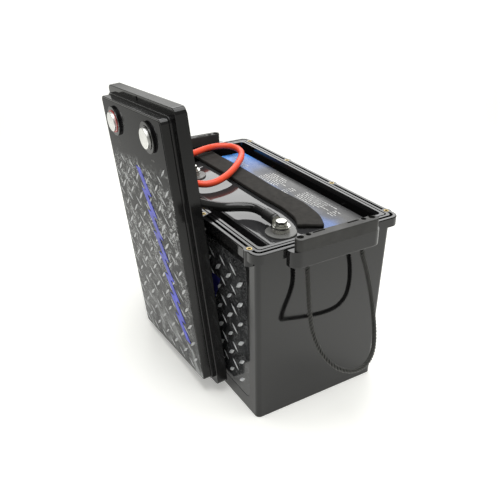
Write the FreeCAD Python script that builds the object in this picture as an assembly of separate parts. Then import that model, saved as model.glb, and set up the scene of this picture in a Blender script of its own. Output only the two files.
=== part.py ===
"""Deep-cycle lithium battery pack, opened for service (millimetres).

The case stands on the floor.  Its lid is off and stands on its short end in
front of the long wall, tied to the pack only by the red and the black cable.
Origin: centre of the case's bottom face.  +X: the end with the rope handle.
-Y: the front, where the lid stands.  +Z: up.
"""
import FreeCAD, Part
import math
import os

os.makedirs("parts", exist_ok=True)

V = FreeCAD.Vector
UP = V(0, 0, 1)

# ---- driving dimensions -------------------------------------------------
FLANGE_X, FLANGE_Y = 153.0, 86.5          # half length and half width of the rim
FLANGE_TOP, FLANGE_DEEP, FLANGE_R = 199.2, 9.9, 10.0
BODY_X0, BODY_Y0 = 142.7, 76.45           # half size of the case at the floor
BODY_X1, BODY_Y1 = 146.1, 80.4            # half size just under the rim
BODY_R = 5.0
WELL_X, WELL_Y, WELL_R = 139.0, 73.0, 5.0  # half size of the space inside
FLOOR_T = 4.0

INSERT_X = (45.4, 136.0)                  # rows of lid screws, each side of the middle
INSERT_Y = 82.0
INSERT_R, INSERT_BORE_R, INSERT_LONG = 2.6, 1.6, 9.0
BOSS_R, BOSS_DEEP = 5.5, 16.0

LABEL_X, LABEL_Z0, LABEL_Z1, LABEL_R = 127.0, 15.0, 177.0, 8.0
LABEL_RECESS, LABEL_T = 0.8, 0.5

PACK_X, PACK_Y0, PACK_Y1 = 126.0, -53.5, 66.0
PACK_Z0, PACK_TOP = 9.0, 190.0
WRAP_T, SHEET_T = 2.0, 0.5
SHEET_BACK = 14.0                         # the black top sheet ends under the foam strip
CELL_GAP, CELL_COUNT = 1.0, 4
CELL_Z1 = 150.0

BAR_HALF, BAR_X0, BAR_X1, BAR_Z0, BAR_Z1, BAR_R = 48.0, 155.0, 165.8, 198.0, 210.5, 5.35
BASE_HALF, BASE_X1, BASE_Z0, BASE_R = 52.5, 165.5, 181.0, 10.0
SCREW_Y, SCREW_X, SCREW_HOLE_R = 42.0, 158.8, 3.4
ROPE_Y, ROPE_X, ROPE_HOLE_R = 32.5, 158.0, 2.7
ROPE_R = 2.5
STOP_R, STOP_Z0, STOP_Z1 = 4.2, 187.0, 195.0
SLOT_Y0, SLOT_Y1 = 13.0, 27.0

STUDS = {"neg": (107.0, -28.0), "pos": (-80.0, -32.0)}

LID_ORIGIN = V(0.0, -81.0, 6.5)           # middle of the lower end's back edge
LID_LEAN, LID_SPIN = math.radians(4.553), math.radians(3.867)
LID_U, LID_V, LID_R = 88.0, 307.0, 6.0    # half width, length and corner of the lid's rim
LID_BASE_T, LID_T = 11.7, 24.0            # thickness of the rim part and of the whole lid
LID_TOP_U, LID_TOP_V0, LID_TOP_V1 = 80.5, 8.2, 298.0
STEP_T, STEP_OUT = 15.5, 1.8              # low step round the foot of the plateau
LID_SKIN = 3.0
TONGUE_OUT, TONGUE_IN, TONGUE_DEEP = 4.4, 6.4, 3.0   # set in from the case's outer edge
POST_U, POST_V = 46.0, 276.0              # terminal discs on the lid
POST_R, POST_PROUD = 10.3, 6.0            # disc, and how far it stands off the plateau
RING_R, RING_PROUD = 12.0, 3.4            # coloured collar round the disc
MOUND_R, MOUND_PROUD = 15.8, 2.8        # round boss of the lid that carries both
PAD_R, PAD_T = 12.0, 1.5                  # thicker place under each boss
LID_STUD_R, LID_STUD_W = 4.0, 10.0        # stud behind each disc, and how far down it comes
SHOULDER_R, SHOULDER_T = 7.5, 1.5         # ring on the stud that keeps the lug off the lid

RED_R, BLACK_R = 4.0, 5.0
SLEEVE_T, SLEEVE_ON_LUG, SLEEVE_ON_CABLE = 1.0, 7.0, 9.0

# Routes of the three cords.  The cables run from lug to lug: each leaves its lug
# straight for STRAIGHT_RUN, and the points below join those two runs.  The rope's
# ends sit in its collars.
STRAIGHT_RUN, LUG_CLEAR = 16.0, 0.3
RED_ROUTE = [
    (-36.7, -49.6, 198), (-28.5, -39.8, 197.5), (-28.5, -27, 198),
    (-35.5, -10.5, 199.5), (-45, 4, 201.3), (-58.5, 18.5, 202.3), (-76, 34, 202.5),
    (-94, 45, 202.5), (-110, 48, 202.5), (-123, 43.5, 202.7), (-130, 32, 203),
    (-130, 17, 203.2), (-124.5, 2, 203.4), (-118, -12, 203.8), (-113, -28, 204.8),
    (-107.5, -45, 206.8), (-100, -61, 209), (-90, -77, 212), (-79, -91, 216.5),
    (-68.5, -103, 225),
]
BLACK_ROUTE = [
    (57.5, -31.5, 199.8), (49, -43, 199.8), (46.5, -57, 201.2), (44.5, -73, 205.8),
    (41.0, -90, 213.0), (36.5, -103.5, 226),
]
ROPE_ROUTE = [
    (158, -32.5, 195), (158, -32.5, 176), (158, -30.5, 160), (158.7, -29.5, 144), (163, -30.5, 126),
    (170, -31, 108), (179, -27.5, 90), (191, -19, 76.5), (197.5, -6, 69.5), (197.5, 8, 66),
    (193.5, 23, 66), (186, 36, 70), (176, 45.5, 80), (168, 49.5, 96), (163.5, 49, 114),
    (160.5, 46, 134), (158.4, 40, 157), (158, 32.5, 176), (158, 32.5, 195),
]


# ---- helpers --------------------------------------------------------------
def block(x0, x1, y0, y1, z0, z1):
    """Box between two corners."""
    return Part.makeBox(x1 - x0, y1 - y0, z1 - z0, V(x0, y0, z0))


def rod(x, y, z0, z1, r):
    """Upright cylinder."""
    return Part.makeCylinder(r, z1 - z0, V(x, y, z0))


def outline(x0, x1, y0, y1, z, r):
    """Closed rectangle with round corners at height z."""
    k = r * (1 - math.sqrt(0.5))
    lines = [
        (V(x0 + r, y0, z), V(x1 - r, y0, z)), (V(x1, y0 + r, z), V(x1, y1 - r, z)),
        (V(x1 - r, y1, z), V(x0 + r, y1, z)), (V(x0, y1 - r, z), V(x0, y0 + r, z)),
    ]
    mids = [V(x1 - k, y0 + k, z), V(x1 - k, y1 - k, z), V(x0 + k, y1 - k, z), V(x0 + k, y0 + k, z)]
    edges = []
    for n, (a, b) in enumerate(lines):
        edges.append(Part.LineSegment(a, b).toShape())
        edges.append(Part.Arc(b, mids[n], lines[(n + 1) % 4][0]).toShape())
    return Part.Wire(edges)


def slab(x0, x1, y0, y1, z0, z1, r):
    """Rectangle with round corners, extruded up from z0 to z1."""
    return Part.Face(outline(x0, x1, y0, y1, z0, r)).extrude(V(0, 0, z1 - z0))


def ring_slab(hx, hy, width, z0, z1, r):
    """Rectangular ring: outer half size (hx, hy), wall `width`."""
    outer = slab(-hx, hx, -hy, hy, z0, z1, r)
    inner = slab(-hx + width, hx - width, -hy + width, hy - width, z0 - 1, z1 + 1, max(r - width, 0.5))
    return outer.cut(inner)


def drafted(inset_y, z0, z1):
    """The case's outer wall as a solid between two heights, drafted, pulled in by inset_y on its long sides."""
    wires = []
    for z in (z0, z1):
        k = z / (FLANGE_TOP - FLANGE_DEEP)
        hx = BODY_X0 + (BODY_X1 - BODY_X0) * k
        hy = BODY_Y0 + (BODY_Y1 - BODY_Y0) * k - inset_y
        wires.append(outline(-hx, hx, -hy, hy, z, BODY_R))
    return Part.makeLoft(wires, True)


def edges_at(shape, test):
    """Edges whose every vertex passes the test."""
    return [e for e in shape.Edges if all(test(v.Point) for v in e.Vertexes)]


def rounded_at(shape, z, radius):
    """Rounds the edges that lie at height z."""
    return shape.makeFillet(radius, edges_at(shape, lambda p: abs(p.z - z) < 1e-4))


def fuse(shapes):
    """One solid from touching solids, with the seams between them removed."""
    body = shapes[0]
    for other in shapes[1:]:
        body = body.fuse(other)
    return body.removeSplitter()


def lid_matrix():
    """Placement of the lid: u across it, v along it from its lower end, w out of its face."""
    lean_v = V(0, -math.sin(LID_LEAN), math.cos(LID_LEAN))
    lean_w = V(0, -math.cos(LID_LEAN), -math.sin(LID_LEAN))
    u = V(1, 0, 0) * math.cos(LID_SPIN) + lean_v * math.sin(LID_SPIN)
    v = V(-1, 0, 0) * math.sin(LID_SPIN) + lean_v * math.cos(LID_SPIN)
    o = LID_ORIGIN
    return FreeCAD.Matrix(
        u.x, v.x, lean_w.x, o.x, u.y, v.y, lean_w.y, o.y, u.z, v.z, lean_w.z, o.z, 0, 0, 0, 1
    )


LID = lid_matrix()


def on_lid(shape):
    """Moves a shape from the lid's own u, v, w to its place in front of the case."""
    return shape.transformShape(LID, True, False)


def export(name, shape):
    """Writes one sub-part and says what it holds."""
    if shape.ShapeType != "Solid" and len(shape.Solids) == 1:
        shape = shape.Solids[0]
    shape.exportStep("parts/" + name + ".step")
    print(name, len(shape.Solids), "solid(s), valid", shape.isValid(), "cm3", round(shape.Volume / 1000, 2))


# ---- cords ----------------------------------------------------------------
def cord_tube(name, points, r):
    """Tube along straight runs joined by tangent arcs as large as the runs allow."""
    pts = [V(*p) for p in points]
    edges = []
    start = pts[0]
    radii = []
    for a, b, c in zip(pts, pts[1:], pts[2:]):
        back, ahead = (a - b), (c - b)
        reach = 0.45 * min(back.Length, ahead.Length)
        half_turn = (math.pi - back.getAngle(ahead)) / 2
        radius = reach / math.tan(half_turn)
        back.normalize()
        ahead.normalize()
        arc_in, arc_out = b + back * reach, b + ahead * reach
        toward = (back + ahead).normalize()
        middle = b + toward * (radius / math.cos(half_turn) - radius)
        edges.append(Part.LineSegment(start, arc_in).toShape())
        edges.append(Part.Arc(arc_in, middle, arc_out).toShape())
        start = arc_out
        radii.append(round(radius, 1))
    edges.append(Part.LineSegment(start, pts[-1]).toShape())
    path = Part.Wire(edges)
    heading = (pts[1] - pts[0]).normalize()
    section = Part.Wire([Part.Circle(pts[0], heading, r).toShape()])
    tube = path.makePipeShell([section], True, False)
    share = tube.Volume / (math.pi * r * r * path.Length)
    print(name, "length", round(path.Length, 1), "radii", radii, "volume share", round(share, 4))
    return tube


def sleeve(mouth, heading, cable_r):
    """Shrink sleeve over the lug's barrel and the first stretch of its cable."""
    start = mouth - heading * SLEEVE_ON_LUG
    long = SLEEVE_ON_LUG + SLEEVE_ON_CABLE
    outer = Part.makeCylinder(cable_r + SLEEVE_T, long, start, heading)
    return outer.cut(Part.makeCylinder(cable_r + 0.02, long + 2, start - heading, heading))


# ---- case -------------------------------------------------------------------
def case_shell():
    """Tub with a deep rim, two seal grooves and bosses for the brass inserts."""
    under = FLANGE_TOP - FLANGE_DEEP
    body = drafted(0.0, 0.0, under + 1.0)
    rim = rounded_at(slab(-FLANGE_X, FLANGE_X, -FLANGE_Y, FLANGE_Y, under, FLANGE_TOP, FLANGE_R), FLANGE_TOP, 1.0)
    bosses = [rod(x, y, FLANGE_TOP - BOSS_DEEP, FLANGE_TOP, BOSS_R) for x, y in insert_places()]
    shell = fuse([body, rim] + bosses)
    shell = shell.cut(slab(-WELL_X, WELL_X, -WELL_Y, WELL_Y, FLOOR_T, FLANGE_TOP + 1, WELL_R))
    groove = ring_slab(FLANGE_X - 3.6, FLANGE_Y - 3.6, 3.2, FLANGE_TOP - 5.0, FLANGE_TOP + 1, 7.0)
    for x, y in insert_places():
        groove = groove.cut(rod(x, y, FLANGE_TOP - 7, FLANGE_TOP + 2, BOSS_R - 0.9))
    shell = shell.cut(groove)
    shell = shell.cut(ring_slab(FLANGE_X - 9.3, FLANGE_Y - 9.3, 1.5, FLANGE_TOP - 4.0, FLANGE_TOP + 1, 4.0))
    for side in (-1, 1):
        shell = shell.cut(label_window(side, 0.0).cut(drafted(LABEL_RECESS, -1.0, FLANGE_TOP)))
    for x, y in insert_places():
        shell = shell.cut(rod(x, y, FLANGE_TOP - INSERT_LONG, FLANGE_TOP + 1, INSERT_R))
    ribs = [block(x - 1.5, x + 1.5, WELL_Y - 2.0, WELL_Y + 1.0, PACK_Z0, 188.0) for x in (-62.0, 79.0)]
    return fuse([shell] + ribs)


def insert_places():
    """Centres of the eight lid screws."""
    return [(sx * x, sy * INSERT_Y) for sy in (-1, 1) for sx in (-1, 1) for x in INSERT_X]


def label_window(side, shrink):
    """Block with round corners through one long wall, the size of its label."""
    flat = slab(
        -LABEL_X + shrink, LABEL_X - shrink, LABEL_Z0 + shrink, LABEL_Z1 - shrink, 0, 20, LABEL_R
    )
    flat.rotate(V(0, 0, 0), V(1, 0, 0), 90)
    flat.translate(V(0, 90.0 if side > 0 else -70.0, 0))
    return flat


def case_label(side):
    """Thin printed sheet that lies in the recess of one long wall."""
    sheet = label_window(side, 0.3).common(drafted(LABEL_RECESS - LABEL_T, 0.0, FLANGE_TOP - FLANGE_DEEP))
    return sheet.cut(drafted(LABEL_RECESS, -1.0, FLANGE_TOP))


def inserts(side):
    """Row of four threaded brass inserts along one long side."""
    row = []
    for x, y in insert_places():
        if y * side > 0:
            body = rod(x, y, FLANGE_TOP - INSERT_LONG, FLANGE_TOP + 0.3, INSERT_R)
            row.append(body.cut(rod(x, y, FLANGE_TOP - INSERT_LONG + 1.0, FLANGE_TOP + 1, INSERT_BORE_R)))
    return Part.makeCompound(row)


def seal_cord():
    """Rubber cord that fills the lower part of the narrow groove."""
    return ring_slab(FLANGE_X - 9.35, FLANGE_Y - 9.35, 1.4, FLANGE_TOP - 4.0, FLANGE_TOP - 2.4, 3.9)


# ---- end brackets -----------------------------------------------------------
def mirrored(shape, side):
    """The same part at the other end of the case."""
    return shape if side > 0 else shape.mirror(V(0, 0, 0), V(1, 0, 0))


def bracket_base(side):
    """Lower moulding: screwed to the end of the rim, hangs below it, holds the rope ends."""
    body = slab(FLANGE_X - 12, BASE_X1, -BASE_HALF, BASE_HALF, BASE_Z0, BAR_Z0, BASE_R)
    body = body.common(block(FLANGE_X, BASE_X1 + 1, -60, 60, BASE_Z0, BAR_Z0))
    body = body.makeFillet(1.5, edges_at(body, lambda p: abs(p.z - BASE_Z0) < 1e-4 and p.x > FLANGE_X + 0.1))
    for y in (-ROPE_Y, ROPE_Y):
        body = body.cut(rod(ROPE_X, y, BASE_Z0 - 1, BAR_Z0 + 1, ROPE_HOLE_R))
        body = body.cut(rod(ROPE_X, y, STOP_Z0, BAR_Z0 + 1, STOP_R + 0.1))
    for y in (-SCREW_Y, SCREW_Y):
        body = body.cut(rod(SCREW_X, y, BAR_Z0 - 9.0, BAR_Z0 + 1, 1.5))
    return mirrored(body, side)


def bracket_cap(side):
    """Upper bar with round ends, two deep screw holes, two rope holes and two slots."""
    body = rounded_at(slab(BAR_X0, BAR_X1, -BAR_HALF, BAR_HALF, BAR_Z0, BAR_Z1, BAR_R), BAR_Z1, 0.9)
    for y in (-SCREW_Y, SCREW_Y):
        body = body.cut(rod(SCREW_X, y, BAR_Z0 + 3.0, BAR_Z1 + 1, SCREW_HOLE_R))
        body = body.cut(rod(SCREW_X, y, BAR_Z0 - 1, BAR_Z1, 1.6))
    for y in (-ROPE_Y, ROPE_Y):
        body = body.cut(rod(ROPE_X, y, BAR_Z0 - 1, BAR_Z1 + 1, ROPE_HOLE_R))
    for y0, y1 in ((-SLOT_Y1, -SLOT_Y0), (SLOT_Y0, SLOT_Y1)):
        body = body.cut(slab(BAR_X0 + 1.2, BAR_X0 + 3.4, y0, y1, BAR_Z0 + 4.0, BAR_Z1 + 1, 1.0))
    return mirrored(body, side)


def bracket_screws(side):
    """Two cap screws sunk deep in the bar's outer holes."""
    screws = []
    for y in (-SCREW_Y, SCREW_Y):
        head = rod(SCREW_X, y, BAR_Z0 + 3.0, BAR_Z0 + 6.0, 2.9)
        socket = Part.makeCylinder(1.3, 2.0, V(SCREW_X, y, BAR_Z0 + 4.5))
        screws.append(mirrored(fuse([head, rod(SCREW_X, y, BAR_Z0 - 8.5, BAR_Z0 + 3.0, 1.45)]).cut(socket), side))
    return Part.makeCompound(screws)


def rope_stops():
    """Crimped collars on the rope's two ends, in the pockets of the lower moulding."""
    pair = []
    for y in (-ROPE_Y, ROPE_Y):
        pair.append(rod(ROPE_X, y, STOP_Z0, STOP_Z1, STOP_R).cut(rod(ROPE_X, y, STOP_Z0 - 1, STOP_Z1 + 1, ROPE_R + 0.05)))
    return Part.makeCompound(pair)


# ---- the wrapped pack ------------------------------------------------------
def pack_wrap():
    """Stiff sleeve round the cells, open at the bottom."""
    z1 = PACK_TOP - SHEET_T
    outer = rounded_at(slab(-PACK_X, PACK_X, PACK_Y0, PACK_Y1, PACK_Z0, z1, 6.0), z1, 1.0)
    inner = slab(-PACK_X + WRAP_T, PACK_X - WRAP_T, PACK_Y0 + WRAP_T, PACK_Y1 - WRAP_T, PACK_Z0 - 1, z1 - WRAP_T, 4.0)
    return outer.cut(inner)


def top_skins():
    """Black top sheet over the front of the pack, printed label over the rest of its top."""
    z0 = PACK_TOP - SHEET_T
    sheet = slab(-PACK_X + 1.2, PACK_X - 1.2, PACK_Y0 + 1.2, SHEET_BACK, z0, PACK_TOP, 1.0)
    label = slab(-PACK_X + 1.2, PACK_X - 1.2, SHEET_BACK + 0.1, PACK_Y1 - 1.2, z0, PACK_TOP, 1.0)
    return sheet, label


def cells():
    """Four flat cells side by side, each with two terminal pads on top."""
    wide = (2 * (PACK_X - WRAP_T) - 2.0 - (CELL_COUNT - 1) * CELL_GAP) / CELL_COUNT
    made = []
    for n in range(CELL_COUNT):
        x0 = -PACK_X + WRAP_T + 1.0 + n * (wide + CELL_GAP)
        body = slab(x0, x0 + wide, PACK_Y0 + 4, PACK_Y1 - 4, PACK_Z0, CELL_Z1, 3.0)
        pads = [rod(x0 + wide / 2, y, CELL_Z1 - 1, CELL_Z1 + 3.0, 9.0) for y in cell_pads()]
        made.append((fuse([body] + pads), x0 + wide / 2))
    return made


def cell_pads():
    """Where the two pads of a cell lie across it."""
    middle = (PACK_Y0 + PACK_Y1) / 2
    return middle - 35.0, middle + 35.0


def busbars(centres):
    """Three tinned straps that join the cells in series, one pad to the next cell's."""
    made = []
    for n in range(CELL_COUNT - 1):
        y = cell_pads()[n % 2]
        made.append(slab(centres[n] - 10, centres[n + 1] + 10, y - 10, y + 10, CELL_Z1 + 3.0, CELL_Z1 + 5.0, 3.0))
    return Part.makeCompound(made)


def protection_board():
    """Circuit board over the cells, and the finned plate that cools it."""
    y0, y1, z = PACK_Y0 + 8, PACK_Y1 - 8, CELL_Z1 + 10.0
    board = slab(-95, 95, y0, y1, z, z + 1.6, 2.0)
    plate = block(-80, 80, y0 + 6, y1 - 6, z + 1.6, z + 5.0)
    fins = [block(-80, 80, y, y + 2.0, z + 4.0, z + 16.0) for y in range(int(y0) + 8, int(y1) - 10, 8)]
    return board, fuse([plate] + fins)


def foam_strip():
    """Dark foam laid along the pack in a lazy S, its edges parallel to its centre line."""
    line = [(-138, 13), (-100, 13.5), (-50, 14.5), (0, 13.5), (50, 15.5), (75, 15.5), (98, 10.5), (114, 2.5)]
    half = 13.5
    curve = Part.BSplineCurve()
    curve.interpolate([V(x, y, PACK_TOP) for x, y in line])
    first, last = curve.FirstParameter, curve.LastParameter
    sides = ([], [])
    count = 24
    for n in range(count + 1):
        t = first + (last - first) * n / count
        heading = curve.tangent(t)[0]
        across = V(-heading.y, heading.x, 0).normalize()
        for side, sign in zip(sides, (-1, 1)):
            side.append(curve.value(t) + across * half * sign)
    rails = []
    for side in sides:
        rail = Part.BSplineCurve()
        rail.interpolate(side)
        rails.append(rail.toShape())
    ends = [Part.LineSegment(sides[0][k], sides[1][k]).toShape() for k in (0, -1)]
    face = Part.Face(Part.Wire(Part.__sortEdges__(rails + ends)))
    return face.extrude(V(0, 0, 4.5))


# ---- terminals on the pack ---------------------------------------------------
BASE_T, POST_T, LUG_T, WASHER_T, SPRING_T, HEAD_T = 1.6, 2.8, 2.0, 1.4, 1.5, 3.6
BOLT_R, HEX_R = 3.0, 5.75


def stack_heights():
    """Heights of the joints in a terminal's stack, from the pack up."""
    heights = [PACK_TOP]
    for t in (BASE_T, POST_T, LUG_T, WASHER_T, SPRING_T, HEAD_T):
        heights.append(heights[-1] + t)
    return heights


def terminal(place):
    """Base disc, post, washer, spring washer and hexagon bolt of one pack terminal."""
    x, y = place
    z = stack_heights()
    base = rod(x, y, z[0], z[1], 16.0)
    base = base.makeFillet(0.6, edges_at(base, lambda p: abs(p.z - z[1]) < 1e-4))
    base = base.cut(rod(x, y, z[0] - 1, z[1] + 1, BOLT_R))
    post = rod(x, y, z[1], z[2], 8.6).cut(rod(x, y, z[1] - 1, z[2] + 1, BOLT_R))
    washer = rod(x, y, z[3], z[4], 9.0).cut(rod(x, y, z[3] - 1, z[4] + 1, BOLT_R))
    spring = rod(x, y, z[4], z[5], 7.2).cut(rod(x, y, z[4] - 1, z[5] + 1, BOLT_R))
    spring = spring.cut(block(x + 2, x + 9, y - 0.4, y + 0.4, z[4] - 1, z[5] + 1))
    turns = [k * math.pi / 3 for k in range(7)]
    hexagon = [V(x + HEX_R * math.cos(a), y + HEX_R * math.sin(a), z[5]) for a in turns]
    head = Part.Face(Part.makePolygon(hexagon)).extrude(V(0, 0, HEAD_T))
    crown = Part.makeCone(6.0, 4.8, 1.8, V(x, y, z[6] - 1.1)).fuse(rod(x, y, z[5], z[6] - 1.1, 6.0))
    bolt = fuse([head.common(crown), rod(x, y, z[0], z[5], BOLT_R)])
    return {"base": base, "post": post, "washer": washer, "spring_washer": spring, "bolt": bolt}


def lug(hole, heading, barrel_r, bore_r, hole_r):
    """Crimped cable lug: flat ring palm, then a barrel along `heading` (unit vector) from the hole."""
    side = UP.cross(heading).normalize()
    palm = 8.4
    ring = Part.makeCylinder(palm, LUG_T, V(0, 0, 0), UP)
    neck = Part.makeBox(palm + 3.0, 2 * barrel_r, LUG_T, V(0, -barrel_r, 0))
    start, long = palm + 1.0, 11.0
    barrel = Part.makeCylinder(barrel_r, long, V(start, 0, barrel_r), V(1, 0, 0))
    body = fuse([ring, neck, barrel])
    body = body.cut(Part.makeCylinder(hole_r, LUG_T + 2, V(0, 0, -1), UP))
    body = body.cut(Part.makeCylinder(bore_r, long, V(start + 2.0, 0, barrel_r), V(1, 0, 0)))
    turned = FreeCAD.Matrix(
        heading.x, side.x, 0, hole.x, heading.y, side.y, 0, hole.y, 0, 0, 1, hole.z, 0, 0, 0, 1
    )
    body = body.transformShape(turned, True, False)
    return body, hole + heading * (start + long) + V(0, 0, barrel_r)


# ---- lid ----------------------------------------------------------------------
def lid_shell():
    """Hollow lid: rim part, raised plateau, tongue, ribs, wells for the terminals."""
    rim = slab(-LID_U, LID_U, 0, LID_V, 0, LID_BASE_T, LID_R)
    rim = rounded_at(rim, LID_BASE_T, 0.8)
    top = slab(-LID_TOP_U, LID_TOP_U, LID_TOP_V0, LID_TOP_V1, LID_BASE_T - 2.0, LID_T, 4.5)
    top = rounded_at(top, LID_T, 0.8)
    step = slab(
        -LID_TOP_U - STEP_OUT, LID_TOP_U + STEP_OUT, LID_TOP_V0 - STEP_OUT, LID_TOP_V1 + STEP_OUT,
        LID_BASE_T - 2.0, STEP_T, 4.5 + STEP_OUT,
    )
    step = rounded_at(step, STEP_T, 0.7)
    tongue = lid_frame_slab(TONGUE_OUT, -TONGUE_DEEP, 1.0, 4.0)
    mounds = [
        rounded_at(rod(u, POST_V, LID_T - 1.0, LID_T + MOUND_PROUD, MOUND_R), LID_T + MOUND_PROUD, 0.5)
        for u in (-POST_U, POST_U)
    ]
    body = fuse([rim, top, step, tongue] + mounds)
    body = body.cut(lid_frame_slab(TONGUE_IN, -5.0, LID_BASE_T - LID_SKIN, 3.0))
    body = body.cut(slab(
        -LID_TOP_U + LID_SKIN, LID_TOP_U - LID_SKIN, LID_TOP_V0 + LID_SKIN, LID_TOP_V1 - LID_SKIN,
        LID_BASE_T - 4.0, LID_T - LID_SKIN, 2.5,
    ))
    under = LID_T - LID_SKIN
    ribs = [block(-LID_TOP_U + 1, LID_TOP_U - 1, v - 1, v + 1, under - 5.0, under + 1) for v in (80, 148, 216)]
    ribs += [block(u - 1, u + 1, LID_TOP_V0 + 1, 216, under - 5.0, under + 1) for u in (-30, 30)]
    pads = [rod(u, POST_V, under - PAD_T, under + 1, PAD_R) for u in (-POST_U, POST_U)]
    body = fuse([body] + ribs + pads)
    for u in (-POST_U, POST_U):
        body = body.cut(rod(u, POST_V, LID_T, LID_T + 9, RING_R + 0.05))
        body = body.cut(rod(u, POST_V, -5, LID_T + 1, LID_STUD_R + 0.1))
    slot = slab(-4.8, -1.4, LID_V - 6.6, LID_V - 1.2, LID_BASE_T - 2.5, LID_BASE_T + 1, 0.9)
    return body.cut(slot)


def lid_frame_slab(inset, w0, w1, r):
    """Rectangle about the lid's middle that is `inset` smaller all round than the case's rim."""
    half_u, half_v, mid = FLANGE_Y - inset, FLANGE_X - inset, LID_V / 2
    return slab(-half_u, half_u, mid - half_v, mid + half_v, w0, w1, r)


def lid_label():
    """Thin printed sheet over the plateau, open round the terminals."""
    sheet = slab(
        -LID_TOP_U + 1.6, LID_TOP_U - 1.6, LID_TOP_V0 + 1.6, LID_TOP_V1 - 1.6, LID_T, LID_T + 0.3, 3.5
    )
    for u in (-POST_U, POST_U):
        sheet = sheet.cut(rod(u, POST_V, LID_T - 1, LID_T + 1, MOUND_R + 0.3))
    return sheet


def lid_terminal(u):
    """Silver disc on a shouldered stud moulded into the lid, and the coloured collar round the disc."""
    floor = LID_T
    disc = rod(u, POST_V, floor, LID_T + POST_PROUD, POST_R)
    disc = disc.makeFillet(0.6, edges_at(disc, lambda p: abs(p.z - LID_T - POST_PROUD) < 1e-4))
    under = floor - LID_SKIN - PAD_T
    stud = rod(u, POST_V, under - LID_STUD_W, floor + 0.5, LID_STUD_R)
    shoulder = rod(u, POST_V, under - SHOULDER_T, under, SHOULDER_R)
    collar = rod(u, POST_V, floor, LID_T + RING_PROUD, RING_R)
    collar = collar.cut(rod(u, POST_V, floor - 1, LID_T + 9, POST_R + 0.05))
    return fuse([disc, stud, shoulder]), collar


def hex_nut(u, w1, thick):
    """Hexagon nut on a lid stud; w1 is its face toward the lid's skin."""
    corners = [V(u + 7.5 * math.cos(k * math.pi / 3), POST_V + 7.5 * math.sin(k * math.pi / 3), w1 - thick)
               for k in range(7)]
    return Part.Face(Part.makePolygon(corners)).extrude(V(0, 0, thick)).cut(rod(u, POST_V, 0, 30, LID_STUD_R + 0.02))


# ---- write everything -----------------------------------------------------------
def main():
    export("case_shell", case_shell())
    for side, name in ((-1, "front"), (1, "back")):
        export("case_label_" + name, case_label(side))
        export("brass_inserts_" + name, inserts(side))
    export("seal_cord", seal_cord())
    for side, name in ((1, "right"), (-1, "left")):
        export("bracket_base_" + name, bracket_base(side))
        export("bracket_cap_" + name, bracket_cap(side))
        export("bracket_screws_" + name, bracket_screws(side))
    export("rope_stops", rope_stops())

    export("foam_bed", slab(-WELL_X + 1, WELL_X - 1, -WELL_Y + 1, WELL_Y - 1, FLOOR_T, PACK_Z0, 4.0))
    export("foam_pad_right", block(PACK_X, WELL_X, PACK_Y0 + 4, PACK_Y1 - 4, PACK_Z0, 172.0))
    export("foam_pad_left", block(-WELL_X, -PACK_X, PACK_Y0 + 4, PACK_Y1 - 4, PACK_Z0, 172.0))
    export("foam_pad_front", block(-110, 110, -WELL_Y, PACK_Y0, PACK_Z0, 160.0))
    sheet, label = top_skins()
    export("pack_wrap", pack_wrap())
    export("top_sheet", sheet)
    export("pack_label", label)
    export("foam_strip", foam_strip())
    centres = []
    for n, (cell, centre) in enumerate(cells()):
        export("cell_" + str(n + 1), cell)
        centres.append(centre)
    export("cell_links", busbars(centres))
    board, sink = protection_board()
    export("protection_board", board)
    export("board_heat_sink", sink)

    z_lug = stack_heights()[2]
    lug_heading = {"neg": V(-1.0, 0.02, 0).normalize(), "pos": V(0.85, -0.53, 0).normalize()}
    cable_r = {"neg": BLACK_R, "pos": RED_R}
    pack_mouth = {}
    for pole, place in STUDS.items():
        for piece, shape in terminal(place).items():
            export("pack_" + piece + "_" + pole, shape)
        core = cable_r[pole] - 1.4
        body, mouth = lug(V(place[0], place[1], z_lug), lug_heading[pole], core + 1.2, core, BOLT_R + 0.05)
        export("pack_lug_" + pole, body)
        export("pack_sleeve_" + pole, sleeve(mouth, lug_heading[pole], cable_r[pole]))
        pack_mouth[pole] = mouth

    export("lid_shell", on_lid(lid_shell()))
    export("lid_label", on_lid(lid_label()))
    lid_mouth, lid_heading = {}, {}
    down = {"pos": V(-0.02, -1, 0).normalize(), "neg": V(0.06, -1, 0).normalize()}
    for pole, u in (("pos", -POST_U), ("neg", POST_U)):
        disc, collar = lid_terminal(u)
        export("lid_terminal_" + pole, on_lid(disc))
        export("lid_collar_" + pole, on_lid(collar))
        skin = LID_T - LID_SKIN - PAD_T - SHOULDER_T
        core = cable_r[pole] - 1.4
        flat, mouth = lug(V(0, 0, 0), V(1, 0, 0), core + 1.2, core, LID_STUD_R + 0.05)
        turn = FreeCAD.Matrix(
            down[pole].x, down[pole].y, 0, u, down[pole].y, -down[pole].x, 0, POST_V, 0, 0, -1, skin, 0, 0, 0, 1
        )
        export("lid_lug_" + pole, on_lid(flat.transformShape(turn, True, False)))
        export("lid_nut_" + pole, on_lid(hex_nut(u, skin - LUG_T, 5.0)))
        lid_mouth[pole] = LID.multVec(turn.multVec(mouth))
        lid_heading[pole] = LID.multVec(turn.multVec(mouth + V(1, 0, 0))) - lid_mouth[pole]
        export("lid_sleeve_" + pole, sleeve(lid_mouth[pole], lid_heading[pole], cable_r[pole]))

    for name, pole, route in (("red_cable", "pos", RED_ROUTE), ("black_cable", "neg", BLACK_ROUTE)):
        out = [pack_mouth[pole] + lug_heading[pole] * far for far in (LUG_CLEAR, STRAIGHT_RUN)]
        back = [lid_mouth[pole] + lid_heading[pole] * far for far in (STRAIGHT_RUN, LUG_CLEAR)]
        points = [tuple(p) for p in out] + route + [tuple(p) for p in back]
        print(name, [tuple(round(c, 3) for c in p) for p in points])
        export(name, cord_tube(name, points, cable_r[pole]))
    export("rope_right", cord_tube("rope_right", ROPE_ROUTE, ROPE_R))


main()
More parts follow.
